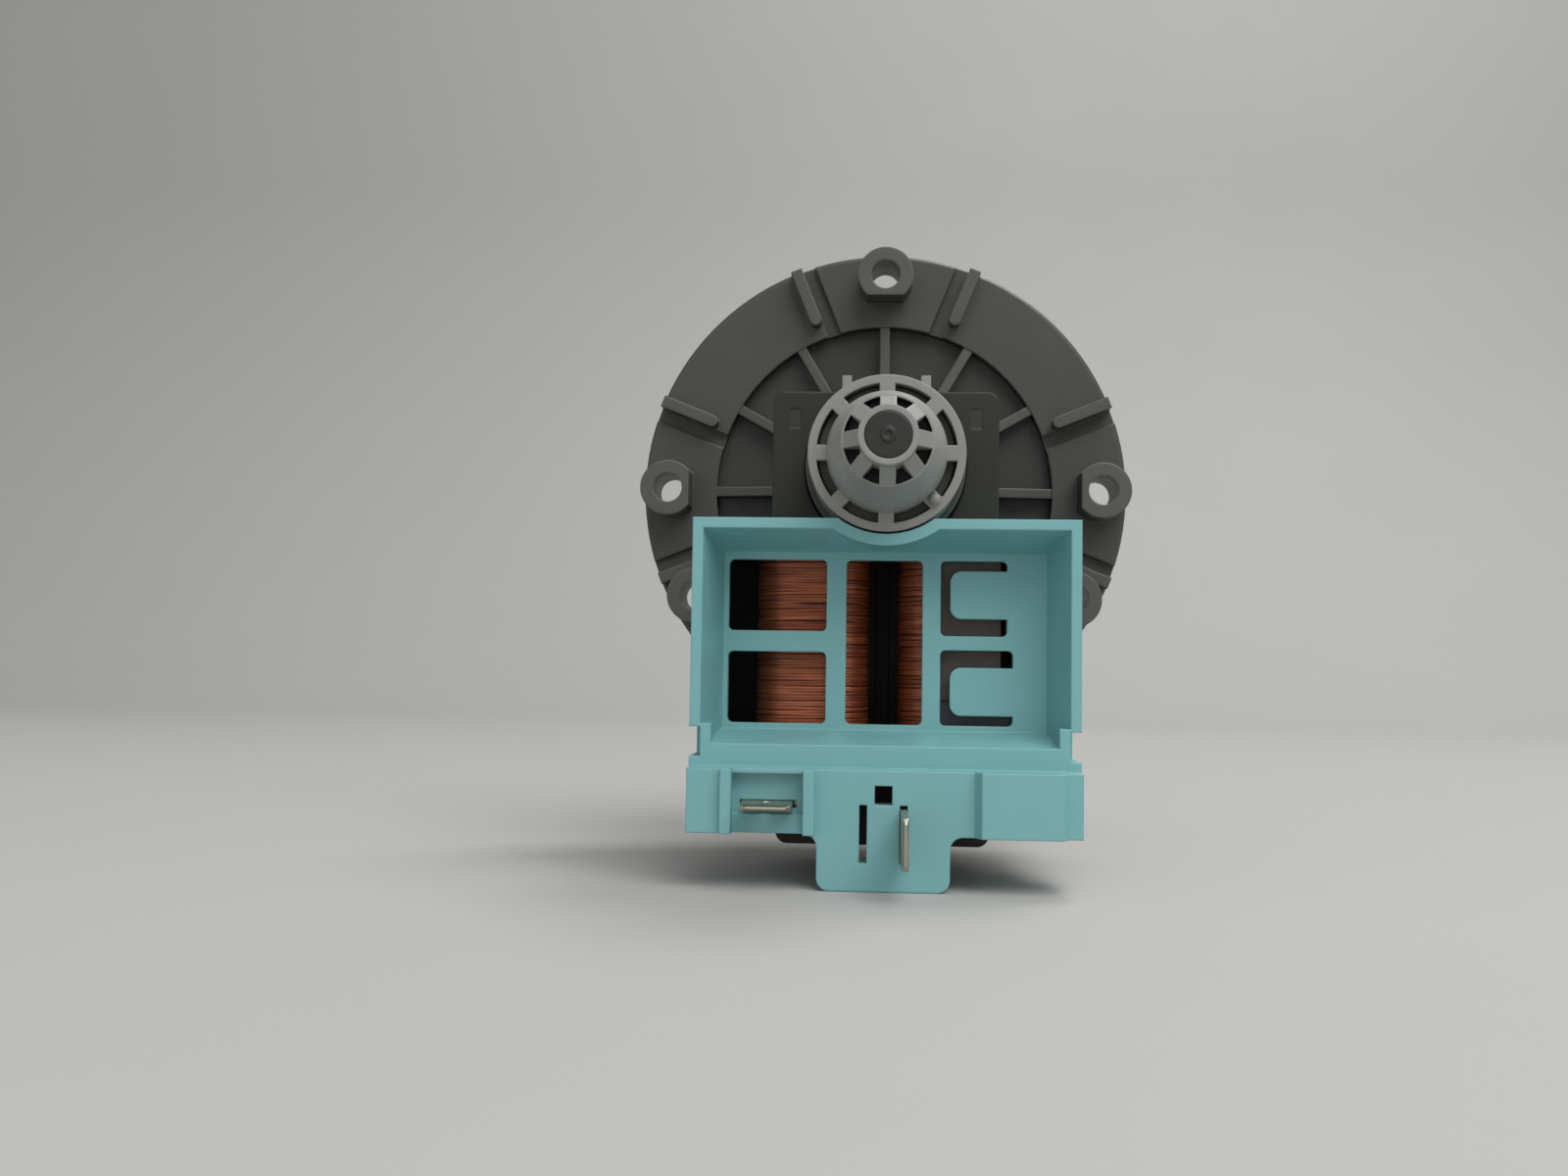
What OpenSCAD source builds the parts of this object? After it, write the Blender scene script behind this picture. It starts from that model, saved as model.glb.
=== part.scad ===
// Drain pump of a washing machine: synchronous motor, flange and impeller.
// The rotor turns about Y. The flange's mounting face is the plane Y = 0, and the impeller is in front (+Y).
// The stator legs, coils and terminals hang below the rotor axis (-Z). Lengths are in millimetres.

/* [Flange] */
// Diameter of the round flange
flange_d = 76; // [72:0.5:84]
// Thickness of the flange rim
flange_t = 3.8; // [3.2:0.1:5]
// Diameter of the sunk floor behind the flange
recess_d = 53; // [48:0.5:56]
// Thickness of the sunk floor
floor_t = 1.4; // [1.2:0.1:2]
// Width of the radial ribs on the floor
rib_w = 1.5; // [1:0.1:2.5]
// Diameter of the locating spigot in front of the flange
spigot_d = 58; // [55:0.5:60]
// Height of the locating spigot
spigot_h = 3.6; // [3.2:0.1:4]
// Cord thickness of the flange seal
flange_seal_d = 2.4; // [2:0.1:2.8]

/* [Eyelets] */
// Diameter of the screw holes
eyelet_hole_d = 4.5; // [3.5:0.1:5.5]
// Diameter of the bosses round the screw holes
eyelet_boss_d = 8.6; // [8:0.1:10]
// Length of a screw hole from the mounting face
eyelet_len = 9; // [7:0.1:12]
// Angle between an eyelet and the locking bars beside it
bar_angle = 22; // [18:0.5:26]
// Width of a locking bar
bar_w = 1.8; // [1.2:0.1:2.4]
// Height of a locking bar above the rim
bar_h = 2.5; // [1.5:0.1:3.2]

/* [Rotor tube] */
// Outer diameter of the tube inside the stator
barrel_d = 22; // [21:0.1:23]
// Outer diameter of the tube behind the stator
neck_d = 17.8; // [17:0.1:18.4]
// Wall thickness of the tube
tube_wall = 1.2; // [1:0.1:1.5]
// Diameter of the closed tip of the tube
tip_d = 5.7; // [5:0.1:6.4]

/* [Stator core] */
// Width of the two poles together
core_w = 31.4; // [29:0.1:33]
// Thickness of the sheet stacks
core_t = 16.5; // [13:0.5:19]
// Height of the poles above the rotor axis
core_top = 10.8; // [10.6:0.1:12.4]
// Width of a pole's leg
leg_w = 7.8; // [6.5:0.1:8.2]
// Distance between the middles of the two legs
leg_spread = 19.6; // [19:0.1:20.4]
// Height of the yoke that joins the legs
yoke_h = 8.4; // [7:0.1:10]
// Gap between the two pole tips
pole_gap = 9.2; // [7:0.1:10]

/* [Coils] */
// Height of the wound window between the bobbin flanges
winding_h = 24.9; // [23:0.1:28]
// Thickness of the winding on a bobbin
winding_build = 2.9; // [2.6:0.1:3.2]
// Thickness of the tube that stands for a bundle of wires
wire_d = 1.1; // [0.8:0.05:1.1]
// Loops in the outer layer of a winding
wire_loops = 15; // [10:1:15]
// Wall of the bobbin tube
bobbin_wall = 0.9; // [0.7:0.1:1.2]
// Thickness of a bobbin flange
bobbin_flange = 1; // [0.8:0.1:1.4]

/* [Coil cover] */
// Width of the coil cover
cover_w = 49.8; // [48:0.1:54]
// Depth of the dished panel behind the cover's rim
dish_depth = 8.9; // [7:0.1:11]
// Thickness of the cover's walls
cover_wall = 1.5; // [1.3:0.1:1.7]
// Thickness of the cover's window panel
panel_t = 1.6; // [1.2:0.1:2]
// Inward slope of the dish on each side
dish_draft = 2; // [1.4:0.1:2.2]
// Height of a side window
window_h = 9.6; // [8:0.1:9.8]
// Width of a side window
window_w = 13.2; // [11:0.1:13.6]
// Width of the tall middle window
middle_window_w = 10.2; // [8:0.1:11]
// Height of the terminal block
block_h = 8.1; // [7.6:0.1:9]
// Distance that the terminal block stands out behind the rim
block_out = 3.2; // [2.5:0.1:4]
// Width of the hanging tab
tab_w = 16.6; // [15:0.1:18]
// Length of the hanging tab below the terminal block
tab_h = 6.9; // [6:0.1:9]

/* [Terminals] */
// Width of a terminal blade
blade_w = 6.3; // [4.8:0.1:6.3]
// Thickness of a terminal blade
blade_t = 0.8; // [0.5:0.1:0.8]
// Length of the side blade outside its slot
side_blade_out = 6.5; // [6:0.1:9]
// Length of the centre blade outside its slot
centre_blade_out = 10.5; // [8:0.1:11]

/* [Stator retainer] */
// Outer diameter of the retainer's ring
ring_d = 20.4; // [19.8:0.1:20.8]
// Length of the retainer's skirt from the tube's shoulder to the ring
skirt_len = 12.6; // [11:0.1:14]
// Diameter of the dome at the ring
dome_d = 15.6; // [14.8:0.1:16]
// Diameter of the dome at its lip
lip_d = 11.5; // [11.1:0.1:11.9]
// Height of the dome above the ring
dome_h = 9.7; // [8:0.1:11]
// Height of the inner ring above the lip
crown_h = 4.8; // [3:0.1:6]
// Width of a spoke
spoke_w = 2; // [1.4:0.1:2.4]

/* [Rotor] */
// Diameter of the rotor shaft
shaft_d = 4; // [3:0.1:4.4]
// Length of the rotor magnet
magnet_len = 20; // [16:0.5:20]
// Diameter of the rotor's carrier sleeve
sleeve_d = 8.4; // [7.6:0.1:9]
// Outer diameter of the rear bearing
rear_bearing_d = 6.4; // [6:0.1:6.8]
// Outer diameter of the front bearing
front_bearing_d = 8; // [7:0.1:9]

/* [Impeller] */
// Outer diameter of the impeller
impeller_d = 40; // [34:0.5:44]
// Number of impeller vanes
vane_count = 6; // [4:1:8]
// Height of a vane
vane_h = 10.6; // [8:0.1:12]
// Thickness of a vane
vane_t = 1.8; // [1.2:0.1:2.4]
// Outer diameter of the impeller hub
impeller_hub_d = 17; // [16.4:0.1:20]

/* [Hidden] */
$fn = 96;

// Clearances: laid pieces, pieces slid together, pressed pieces, turning pieces, free pieces
fit = 0.05;
slip = 0.2;
press = 0.02;
run = 0.05;
play = 0.3;
// Overlap that joins two shapes of one moulding
bite = 0.4;
// Margin by which a cut runs past a face
past = 1;

// Flange and eyelets
flange_r = flange_d / 2;
recess_r = recess_d / 2;
spigot_r = spigot_d / 2;
spigot_wall = 2;
seal_groove_w = flange_seal_d + slip;
seal_groove_depth = 1;
seal_groove_r = spigot_r - seal_groove_depth;
seal_relief_depth = 0.3;
seal_relief_r = seal_groove_r + fit + flange_seal_d + slip;
eyelet_r = flange_r - eyelet_boss_d / 2;
eyelet_flat = 0.77 * eyelet_boss_d / 2;
main_eyelets = [0, 90, 180, 270];
eyelets = [0, 90, 180, 270, 210, 330];
rib_pitch = 30;
rib_drop = 0.2;
rib_rise = 2;
bar_inset = 2.8;
bar_in = recess_r + bar_inset;
bar_short = 0.2;
bar_groove_w = 2.2;
bar_groove_depth = 1;
rim_chamfer = 0.4;

// Stations along the rotor axis, from the mounting face to the rear
bobbin_lip = 0.3;
bobbin_front_t = 1;
lap_w = 1;
lap_t = 0.6;
guard_w = 10.8;
guard_shift = 2.1;
guard_t = 0.22;
y_bobbin_front = -eyelet_len - play;
wound_depth = bobbin_lip + winding_build + bobbin_wall + slip;
y_core_front = y_bobbin_front - bobbin_front_t - wound_depth;
y_core_rear = y_core_front - core_t;
y_bobbin_rear = y_core_rear - wound_depth;
y_panel_in = y_bobbin_rear - play;
y_panel = y_panel_in - panel_t;
y_rim = y_panel - dish_depth;
y_block = y_rim - block_out;
barrel_proud = 2.3;
y_shoulder = y_core_rear - barrel_proud;
y_ring = y_shoulder - skirt_len;
y_lip = y_ring - dome_h;
y_crown = y_lip - crown_h;

// Rotor tube
barrel_r = barrel_d / 2;
barrel_bore_r = barrel_r - tube_wall;
neck_r = neck_d / 2;
hub_step = 0.7;
hub_r = barrel_r + hub_step;
spoke_t = 1.5;
y_neck = y_ring + spoke_t + slip;
dome_wall = 1.15;
tube_dome_r = dome_d / 2 - dome_wall - slip;
lip_wall = 0.3;
lip_t = 0.3;
lip_in = lip_d / 2 - lip_wall;
tube_slope = (dome_d / 2 - dome_wall - lip_in) / (dome_h + lip_t);
tube_short = 2;
y_tube_end = y_lip + tube_short;
tube_end_r = tube_dome_r - tube_slope * (y_ring - y_tube_end);
tip_r = tip_d / 2;
pocket_wall = 0.8;
pocket_len = 7;
pocket_mouth = 1;
y_pocket = y_neck + pocket_mouth;
y_pocket_end = y_pocket - pocket_len;
pocket_r = tube_dome_r - tube_slope * (y_ring - y_pocket_end) - pocket_wall;
gate_r = 0.9;
gate_h = 0.15;

// Front bearing holder in the mouth of the tube
holder_r = barrel_bore_r - fit;
collar_t = 1.4;
collar_step = 1.4;
collar_r = holder_r + collar_step;
holder_len = 8.8;
holder_seal_d = 1.6;
holder_groove_w = holder_seal_d + slip;
y_holder_groove = -4.2;
front_bearing_r = front_bearing_d / 2;
front_bearing_len = 6;
bearing_stop_t = 1;
seal_seat_depth = 2.4;
shaft_seal_r = 5.2;
seal_lip_h = 0.9;
seal_lip_t = 0.7;
seal_lip_root = 1.6;
seal_waist = 0.9;
holder_seal_mid = barrel_bore_r - fit - holder_seal_d / 2;
y_front_bearing = -seal_seat_depth - bearing_stop_t;
y_front_bearing_end = y_front_bearing - front_bearing_len;

// Stator core and coils
trough_r = ring_d / 2 + play;
trough_wall = 1.5;
bore_r = barrel_r + slip;
core_x = core_w / 2;
core_corner = 1.6;
leg_mid = leg_spread / 2;
leg_in = leg_mid - leg_w / 2;
leg_out = leg_mid + leg_w / 2;
yoke_over = 0.9;
yoke_x = leg_out + yoke_over;
tenon_h = 0.6 * yoke_h;
winding_in = leg_in - slip - bobbin_wall - winding_build;
tube_clear_r = max(hub_r, trough_r + trough_wall) + slip;
z_winding_top = -sqrt(pow(tube_clear_r, 2) - pow(winding_in, 2));
z_winding_bottom = z_winding_top - winding_h;
z_bobbin_top = z_winding_top + bobbin_flange;
z_bobbin_bottom = z_winding_bottom - bobbin_flange;
leg_foot = 5.6;
z_yoke_top = z_bobbin_bottom - leg_foot;
z_yoke_bottom = z_yoke_top - yoke_h;
z_pole = z_bobbin_top + play;
leg_half = leg_w / 2 + slip + bobbin_wall;
core_mid = (y_core_front + y_core_rear) / 2;
core_half = core_t / 2 + slip + bobbin_wall;
coil_build = winding_build - wire_d - 2 * fit;
tube_corner = 1.2;
wire_rings = 24;
wire_sides = 6;
corner_rings = wire_rings / 4;
wire_ease = 0.08;
wire_offset = coil_build + wire_ease + wire_d / 2;
wire_corner = tube_corner + wire_offset;
wire_margin = 0.25;
wire_pitch = (winding_h - wire_d - 2 * wire_margin) / wire_loops;
dimple_w = 1.6;
dimple_h = 2.8;
dimple_depth = 0.08;
dimple_x = 12.6;
dimple_z = 7;

// Coil cover
cover_x = cover_w / 2;
cover_in = cover_x - cover_wall;
bobbin_x = cover_in - slip;
z_cover_in = z_bobbin_top + play;
top_wall = 2.25;
z_cover_top = z_cover_in + top_wall;
z_floor_in = z_bobbin_bottom - play;
strip_t = 2.2;
z_strip = z_floor_in - strip_t;
z_block = z_strip - block_h;
z_tab = z_block - tab_h;
y_cover_front = y_bobbin_front - bobbin_front_t - fit;
lid_inset = 0.5;
lid_x = cover_x - lid_inset;
rim_w = 1.35;
dish_x = cover_x - rim_w;
z_dish_top = z_cover_top - rim_w;
dish_sill = 0.7;
z_dish_bottom = z_floor_in + dish_sill;
panel_x = dish_x - dish_draft;
top_draft = 1.2 * dish_draft;
z_panel_top = z_dish_top - top_draft;
sill_draft = 0.76 * dish_draft;
z_panel_bottom = z_dish_bottom + sill_draft;
leg_notch = core_x + slip + play;
y_leg_notch = y_shoulder - play;
notch_in = 1.4;
notch_h = 3.8;
notch_rise = 2.1;
z_notch = z_dish_bottom + notch_rise;
notch_floor = 0.5;
ledge_in = 1.4;
ledge_rise = 0.4;
z_ledge = z_notch + ledge_rise;
window_r = 0.7;
window_margin = 1;
window_gap = 2.8;
z_window_top = z_panel_top - window_margin;
z_window_mid = z_window_top - window_h;
z_window_low = z_window_mid - window_gap - window_h;
window_inset = 0.6;
window_x = window_inset - panel_x;
slot_x = 7.5;
slot_w = 8.85;
slot_h = 10.05;
slot_longer = 0.8;
tongue_inset = 1.3;
tongue_x = slot_x + tongue_inset;
tongue_edge = 1.35;
tongue_h = 6.4;
tongue_r = 1.5;

// Terminal block of the cover
block_inset = 0.2;
block_x = cover_x - block_inset;
block_wall = 1.5;
post_out = 1.5;
y_post = y_block - post_out;
post_w = 5.7;
post_rise = 0.6;
post_x = post_w - block_x;
divider_x = -8.6;
divider_w = 1.4;
pocket_cut = 1.6;
y_blade_floor = y_block + pocket_cut;
pocket_lip_h = 2.4;
pocket_lip_out = 0.8;
pocket_roof = 0.6;
bump_w = 10;
bump_inset = 2.6;
bump_x1 = block_x - bump_inset;
bump_x0 = bump_x1 - bump_w;
bump_slope = 0.8;
tab_corner = 1.6;
key_hole_w = 2.2;
key_hole_h = 2.4;
key_hole_drop = 1.9;
z_key_hole = z_strip - key_hole_drop;
slot_spread = 2.52;
blade_slack = 0.45;
blade_gap = 0.08;
side_blade_x = (post_x + divider_x - divider_w) / 2;
side_blade_drop = 4.5;
z_side_blade = z_strip - side_blade_drop;
centre_blade_drop = 7.9;
z_centre_blade = z_strip - centre_blade_drop;
blade_shoulder = 0.9;
blade_shoulder_w = blade_w + 2 * blade_shoulder;
blade_shoulder_len = 2;
blade_tail = 3;
blade_tip = 0.7;
blade_edge = 0.25;
blade_hole_d = 1.7;
blade_hole_in = 4.4;
cutout_w = 11;
cutout_h = 4.2;
cutout_len = 7;
cutout_gap = 0.9;
cutout_x = block_x - block_wall - cutout_gap - cutout_w / 2;
cutout_corner = 0.5;
link_d = 1;
tape_t = 0.25;
tape_w = 10.4;
tape_x = leg_mid + 0.7;
tape_short = 5;
tape_corner = 0.4;

// Retainer
ring_r = ring_d / 2;
dome_r = dome_d / 2;
lip_r = lip_d / 2;
skirt_in = neck_r + slip;
spoke_count = 8;
dome_collar = 0.4;
crown_in = tip_r + fit;
crown_wall = 0.75;
crown_out = crown_in + crown_wall;
tooth_t = 1.2;
tooth_drop = 1.5;
dome_steps = 8;
dome_bulge = 1.5;
dome_curve = [for (i = [0 : dome_steps]) let (t = i / dome_steps)
    [dome_r - (dome_r - lip_r) * pow(t, dome_bulge), y_ring - dome_collar - (dome_h - dome_collar) * t]];
hook_x = 5.4;
hook_w = 1.3;
hook_over = 1.5;
hook_top = core_top + hook_over;
hook_t = 1.5;
hook_root = sqrt(pow(ring_r, 2) - pow(hook_x + hook_w / 2, 2)) - slip;
hook_low = sqrt(pow(barrel_r, 2) - pow(hook_x - hook_w / 2, 2)) + slip;
nub_r = 0.8;
nub_lift = 0.35;
nub_out = 0.85;
nub_angle = -44;

// Rotor
shaft_r = shaft_d / 2;
sleeve_r = sleeve_d / 2;
air_gap = 0.4;
magnet_r = barrel_bore_r - air_gap;
y_magnet_rear = y_shoulder + tube_wall + 2 * play;
washer_t = 0.7;
washer_r = 3.9;
bearing_proud = 0.3;
y_rear_bearing = y_pocket + bearing_proud;
rear_bearing_r = rear_bearing_d / 2;
cup_r = pocket_r - fit;
cup_back = 0.7;
y_cup_floor = y_pocket_end + fit + cup_back;
y_rear_bearing_end = y_cup_floor + fit;
y_rear_washer = y_rear_bearing + slip;
y_sleeve_rear = y_rear_washer + washer_t;
y_front_washer = y_front_bearing_end - slip;
y_sleeve_front = y_front_washer - washer_t;

// Impeller and its lost-motion drive
y_impeller = 1.6;
hub_back_t = 1.6;
cavity_r = 6.6;
dog_len = 5;
y_cavity = y_impeller + hub_back_t;
y_dog = y_cavity + slip;
y_cavity_end = y_dog + dog_len + slip;
cap_t = 1.4;
y_cap_front = y_cavity_end + cap_t;
cap_step = 0.6;
cap_r = cavity_r + cap_step;
nose_r = 5;
nose_h = 2.6;
nose_bore = 1.6;
y_shaft_end = y_cap_front + nose_bore - slip;
dog_hub_wall = 1.6;
dog_hub_r = shaft_r + dog_hub_wall;
dog_r = cavity_r - play;
key_in = dog_hub_r + play;
key_angle = 60;
damper_angle = 8;
damper_ease = 0.8;
vane_root = 0.8;
vane_gap = 0.8;
back_disc_r = 13;
back_disc_t = 1.2;
vane_chamfer = 2.5;

// Colours
housing_grey = [0.27, 0.28, 0.27];
retainer_grey = [0.56, 0.58, 0.57];
steel_dark = [0.22, 0.22, 0.19];
steel_bright = [0.75, 0.75, 0.75];
yoke_grey = [0.36, 0.34, 0.33];
tape_brown = [0.32, 0.28, 0.25];
cover_blue = [0.36, 0.66, 0.68];
copper = [0.55, 0.25, 0.15];
bobbin_black = [0.06, 0.06, 0.06];
rubber_black = [0.09, 0.09, 0.09];
tin = [0.75, 0.70, 0.60];
bronze = [0.62, 0.45, 0.24];
ferrite = [0.18, 0.18, 0.19];
impeller_white = [0.85, 0.85, 0.82];

// Lays a shape that was turned about Z along the rotor axis.
module about_axis() {
    rotate([-90, 0, 0]) children();
}

// Swings a shape that lies along X to an angle round the rotor axis, counted from +X towards +Z.
module swung(angle) {
    rotate([0, -angle, 0]) children();
}

// Stands an X-Z outline up as a slab between two stations of the rotor axis.
module slab(y_front, y_rear) {
    translate([0, y_front, 0]) rotate([90, 0, 0]) linear_extrude(y_front - y_rear) children();
}

// Stands a radius-against-station outline up as a radial fin.
module fin(width) {
    translate([0, 0, -width / 2]) linear_extrude(width) children();
}

// A disc or tube about the rotor axis between two stations.
module ring_piece(y_front, y_rear, r_out, r_in = 0) {
    translate([0, y_rear, 0]) about_axis() difference() {
        cylinder(r = r_out, h = y_front - y_rear);
        if (r_in > 0) translate([0, 0, -past]) cylinder(r = r_in, h = y_front - y_rear + 2 * past);
    }
}

// A rectangle with round corners, given by its edges.
module rounded_rect(x0, x1, z0, z1, r) {
    translate([x0 + r, z0]) square([x1 - x0 - 2 * r, z1 - z0]);
    translate([x0, z0 + r]) square([x1 - x0, z1 - z0 - 2 * r]);
    for (x = [x0 + r, x1 - r], z = [z0 + r, z1 - r]) translate([x, z]) circle(r = r);
}

// An upright prism with round corners about a middle point, seen from above.
module upright(mid_x, mid_y, half_x, half_y, r, z0, z1) {
    translate([0, 0, z0]) linear_extrude(z1 - z0)
        rounded_rect(mid_x - half_x, mid_x + half_x, mid_y - half_y, mid_y + half_y, r);
}

// A wedge of a disc, centred on an angle and cut from a ring about the rotor axis.
module sector(angle, width, r_in, r_out, y_front, y_rear) {
    far = 2 * r_out;
    intersection() {
        ring_piece(y_front, y_rear, r_out, r_in);
        swung(angle) slab(y_front, y_rear)
            polygon([[0, 0], [far, -far * tan(width / 2)], [far, far * tan(width / 2)]]);
    }
}

// Flange with eyelets, locking bars and ribs, moulded in one with the closed rotor tube.
module motor_housing() {
    color(housing_grey) difference() {
        union() {
            about_axis() rotate_extrude() polygon([
                [0, 0], [spigot_r - spigot_wall, 0], [spigot_r - spigot_wall, spigot_h], [spigot_r, spigot_h],
                [spigot_r, seal_groove_w], [seal_groove_r, seal_groove_w], [seal_groove_r, 0], [flange_r, 0],
                [flange_r, rim_chamfer - flange_t], [flange_r - rim_chamfer, -flange_t],
                [recess_r, -flange_t], [recess_r, -floor_t], [hub_r, -floor_t], [hub_r, y_core_front],
                [barrel_r, y_core_front], [barrel_r, y_shoulder], [neck_r, y_shoulder], [neck_r, y_neck],
                [tube_dome_r, y_neck], [tube_dome_r, y_ring], [tube_end_r, y_tube_end],
                [tip_r, y_tube_end], [tip_r, y_crown], [0, y_crown]]);
            floor_ribs();
            for (a = eyelets) swung(a) eyelet_boss();
            for (a = main_eyelets, side = [-1, 1]) swung(a + side * bar_angle) locking_bar();
            ring_piece(y_crown + bite, y_crown - gate_h, gate_r, gate_r / 2);
        }
        rotor_chamber();
        ring_piece(seal_groove_w / 2, -seal_relief_depth, seal_relief_r, seal_groove_r);
        for (a = eyelets) swung(a) translate([eyelet_r, past, 0]) rotate([90, 0, 0])
            cylinder(d = eyelet_hole_d, h = eyelet_len + 2 * past);
        for (a = main_eyelets, side = [-1, 1]) swung(a + side * bar_angle)
            translate([recess_r - past, -flange_t - past, -side * (bar_w + bar_groove_w) / 2])
                translate([0, 0, -bar_groove_w / 2])
                    cube([flange_r - recess_r + 3 * past, bar_groove_depth + past, bar_groove_w]);
    }
}

// Space for the rotor: mouth with its collar seat, barrel, neck and rear bearing pocket.
module rotor_chamber() {
    about_axis() rotate_extrude() polygon([
        [0, past], [collar_r + fit, past], [collar_r + fit, -collar_t], [barrel_bore_r, -collar_t],
        [barrel_bore_r, y_shoulder + tube_wall], [neck_r - tube_wall, y_shoulder + tube_wall],
        [neck_r - tube_wall, y_pocket], [pocket_r, y_pocket], [pocket_r, y_pocket_end], [0, y_pocket_end]]);
}

// Radial ribs that stiffen the sunk floor between the rim and the hub.
module floor_ribs() {
    for (a = [0 : rib_pitch : 360 - rib_pitch]) swung(a) fin(rib_w) polygon([
        [hub_r - bite, -floor_t + bite], [recess_r + bite, -floor_t + bite],
        [recess_r + bite, rib_drop - flange_t], [hub_r - bite, rib_drop - flange_t - rib_rise]]);
}

// Boss of a screw eyelet with a flat towards the rotor axis.
module eyelet_boss() {
    intersection() {
        translate([eyelet_r, 0, 0]) rotate([90, 0, 0]) cylinder(d = eyelet_boss_d, h = eyelet_len);
        translate([eyelet_r - eyelet_flat, -eyelet_len, -eyelet_boss_d])
            cube([2 * eyelet_boss_d, eyelet_len, 2 * eyelet_boss_d]);
    }
}

// Raised bar across the rim, round at its inner end.
module locking_bar() {
    translate([bar_in, -flange_t - bar_h, -bar_w / 2])
        cube([flange_r - bar_short - bar_in, bar_h + bite, bar_w]);
    translate([bar_in, bite - flange_t, 0]) rotate([90, 0, 0]) cylinder(d = bar_w, h = bar_h + bite);
}

// Rubber ring in the groove of the locating spigot.
module flange_seal() {
    color(rubber_black) about_axis() rotate_extrude()
        translate([seal_groove_r + fit + flange_seal_d / 2, seal_groove_w / 2]) circle(d = flange_seal_d);
}

// Stack of steel sheets that forms the right pole, with a leg through the coil into the yoke.
module right_pole() {
    color(steel_dark) difference() {
        slab(y_core_front, y_core_rear) {
            difference() {
                rounded_rect(0, core_x, z_pole, core_top, core_corner);
                circle(r = bore_r);
                translate([-past, z_pole - past]) square([pole_gap / 2 + past, core_top - z_pole + 2 * past]);
            }
            translate([leg_in, z_yoke_top - tenon_h])
                square([leg_w, z_pole + core_corner - z_yoke_top + tenon_h]);
        }
        translate([dimple_x, y_core_rear, dimple_z]) stacking_dimple();
    }
}

module left_pole() {
    mirror([1, 0, 0]) right_pole();
}

// Stack of steel sheets across the ends of both legs.
module stator_yoke() {
    color(yoke_grey) slab(y_core_front, y_core_rear) difference() {
        rounded_rect(-yoke_x, yoke_x, z_yoke_bottom, z_yoke_top, core_corner);
        for (side = [-1, 1]) translate([side * leg_mid - leg_w / 2 - press, z_yoke_top - tenon_h - press])
            square([leg_w + 2 * press, tenon_h + past]);
    }
}

// Shallow dimple that keys the sheets of a stack together.
module stacking_dimple() {
    slab(dimple_depth, -past) translate([-dimple_w / 2, -dimple_h / 2]) square([dimple_w, dimple_h]);
}

// Bobbin: a square tube round the right leg, with a flange above and below the winding and a front wall.
module bobbin() {
    color(bobbin_black) difference() {
        union() {
            children();
            upright(leg_mid, core_mid, leg_half, core_half, tube_corner, z_bobbin_bottom, z_bobbin_top);
            for (z = [z_bobbin_bottom, z_winding_top]) translate([slip + fit, y_bobbin_rear, z])
                cube([bobbin_x - slip - fit, y_bobbin_front - y_bobbin_rear, bobbin_flange]);
            translate([slip + fit, y_bobbin_front - bobbin_front_t, z_bobbin_bottom])
                cube([lid_x - slip - fit, bobbin_front_t, z_bobbin_top - z_bobbin_bottom]);
        }
        translate([leg_in - slip, y_core_rear - slip, z_bobbin_bottom - past])
            cube([leg_w + 2 * slip, core_t + 2 * slip, winding_h + 2 * bobbin_flange + 2 * past]);
        ring_piece(past, y_bobbin_rear - past, tube_clear_r);
    }
}

// The right bobbin has a strip that laps behind the left one and closes the joint between the front walls,
// and a lip on its lower flange that guards the leads.
module right_bobbin() {
    y_lap = y_bobbin_front - bobbin_front_t;
    bobbin() {
        translate([-lap_w, y_lap - fit - lap_t, z_bobbin_bottom + bobbin_flange + fit])
            cube([2 * lap_w, lap_t, winding_h - 2 * fit]);
        translate([slip + fit, y_lap - fit - lap_t, z_winding_bottom])
            cube([lap_w - slip - fit, lap_t + fit + bite, winding_h]);
        translate([leg_mid + guard_shift - guard_w / 2, y_bobbin_rear, z_bobbin_bottom])
            cube([guard_w, guard_t, tape_short + bobbin_flange - slip]);
    }
}

module left_bobbin() {
    mirror([1, 0, 0]) bobbin();
}

// Inner layers of a coil, wound on the bobbin tube.
module right_coil() {
    color(copper) difference() {
        upright(leg_mid, core_mid, leg_half + coil_build, core_half + coil_build, tube_corner + coil_build,
            z_winding_bottom + fit, z_winding_top - fit);
        upright(leg_mid, core_mid, leg_half + fit, core_half + fit, tube_corner,
            z_winding_bottom - past, z_winding_top + past);
    }
}

module left_coil() {
    mirror([1, 0, 0]) right_coil();
}

// Angle of a ring on its loop: four round corners joined by straight sides.
function wire_angle(i) =
    90 * (floor(i / corner_rings) % 4) + 90 * (i % corner_rings) / (corner_rings - 1);

// Middle of a ring of the outer layer, which climbs one pitch on each loop.
function wire_point(i) = let (quarter = floor(i / corner_rings) % 4, a = wire_angle(i),
        sx = quarter == 0 || quarter == 3 ? 1 : -1, sy = quarter < 2 ? 1 : -1)
    [leg_mid + sx * (leg_half + wire_offset - wire_corner) + wire_corner * cos(a),
        core_mid + sy * (core_half + wire_offset - wire_corner) + wire_corner * sin(a),
        z_winding_bottom + wire_margin + wire_d / 2 + wire_pitch * i / wire_rings];

// Way that the wire runs at a ring, level with the flanges.
function wire_way(i) = [-sin(wire_angle(i)), cos(wire_angle(i)), 0];

wire_last = wire_loops * wire_rings;
wire_path = concat([wire_point(0) - wire_d * wire_way(0)], [for (i = [0 : wire_last]) wire_point(i)],
    [wire_point(wire_last) + wire_d * wire_way(wire_last)]);
wire_turn = concat([wire_angle(0)], [for (i = [0 : wire_last]) wire_angle(i)], [wire_angle(wire_last)]);

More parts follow.
